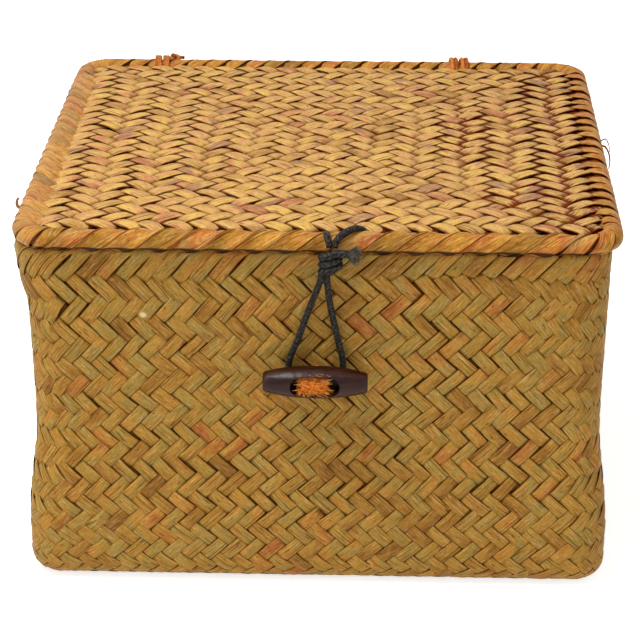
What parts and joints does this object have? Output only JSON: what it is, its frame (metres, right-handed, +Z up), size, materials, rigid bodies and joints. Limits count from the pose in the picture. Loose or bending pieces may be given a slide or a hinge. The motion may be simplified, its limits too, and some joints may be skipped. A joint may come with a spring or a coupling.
{
  "type": "lidded storage basket",
  "caption": "Four-cornered woven storage basket with a flat lid tied on at the back, shut by a cord loop over a barrel toggle.",
  "frame": {"origin": "middle of the underside of the floor, on the surface the basket stands on", "axes": "+X to the right seen from the front, +Y from the front with the toggle to the back with the hinge ties, +Z up"},
  "size_m": [0.23, 0.232, 0.1527],
  "materials": {
    "body_strip": "plaited leaf strips, satin, ochre to olive with brown ones",
    "lid_strip": "plaited leaf strips, satin, golden tan with peach ones",
    "rolled_edge": "folded leaf strips, satin, orange brown",
    "tie_twine": "bast strip, matt, brown",
    "toggle_wood": "dark stained, soft gloss",
    "coir": "loose fibre, matt, orange brown",
    "black_cord": "waxed cord, matt, charcoal"
  },
  "bodies": {
    "basket_body": {"body_weave": "body_strip", "body_rim_roll": "rolled_edge", "toggle_stem": "coir", "toggle_stopper": "coir", "hinge_tie_left": "tie_twine", "hinge_tie_right": "tie_twine", "hinge_knot_left": "tie_twine", "hinge_knot_right": "tie_twine"},
    "lid": {"lid_weave": "lid_strip", "lid_rim_roll": "rolled_edge", "closure_hitch": "black_cord", "closure_knot": "black_cord"},
    "loop": {"closure_loop": "black_cord"},
    "toggle": {"toggle_barrel": "toggle_wood", "toggle_tuft": "coir"}
  },
  "joints": [
    {"name": "lid_hinge", "type": "hinge", "parent": "basket_body", "child": "lid", "pos_m": [0, 0.1037, 0.1453], "axis": [-1, 0, 0], "range_deg": [0, 110]},
    {"name": "loop_swing", "type": "hinge", "parent": "lid", "child": "loop", "pos_m": [0.003, -0.111, 0.1358], "axis": [-1, 0, 0], "range_deg": [-100, 0], "deforming": ["closure_loop"]},
    {"name": "toggle_turn", "type": "hinge", "parent": "basket_body", "child": "toggle", "pos_m": [0, -0.11325, 0.0917], "axis": [0, -1, 0], "range_deg": [-90, 90]}
  ],
  "couplings": [
    {"joint": "loop_swing", "follows": "lid_hinge", "ratio": -0.909}
  ]
}
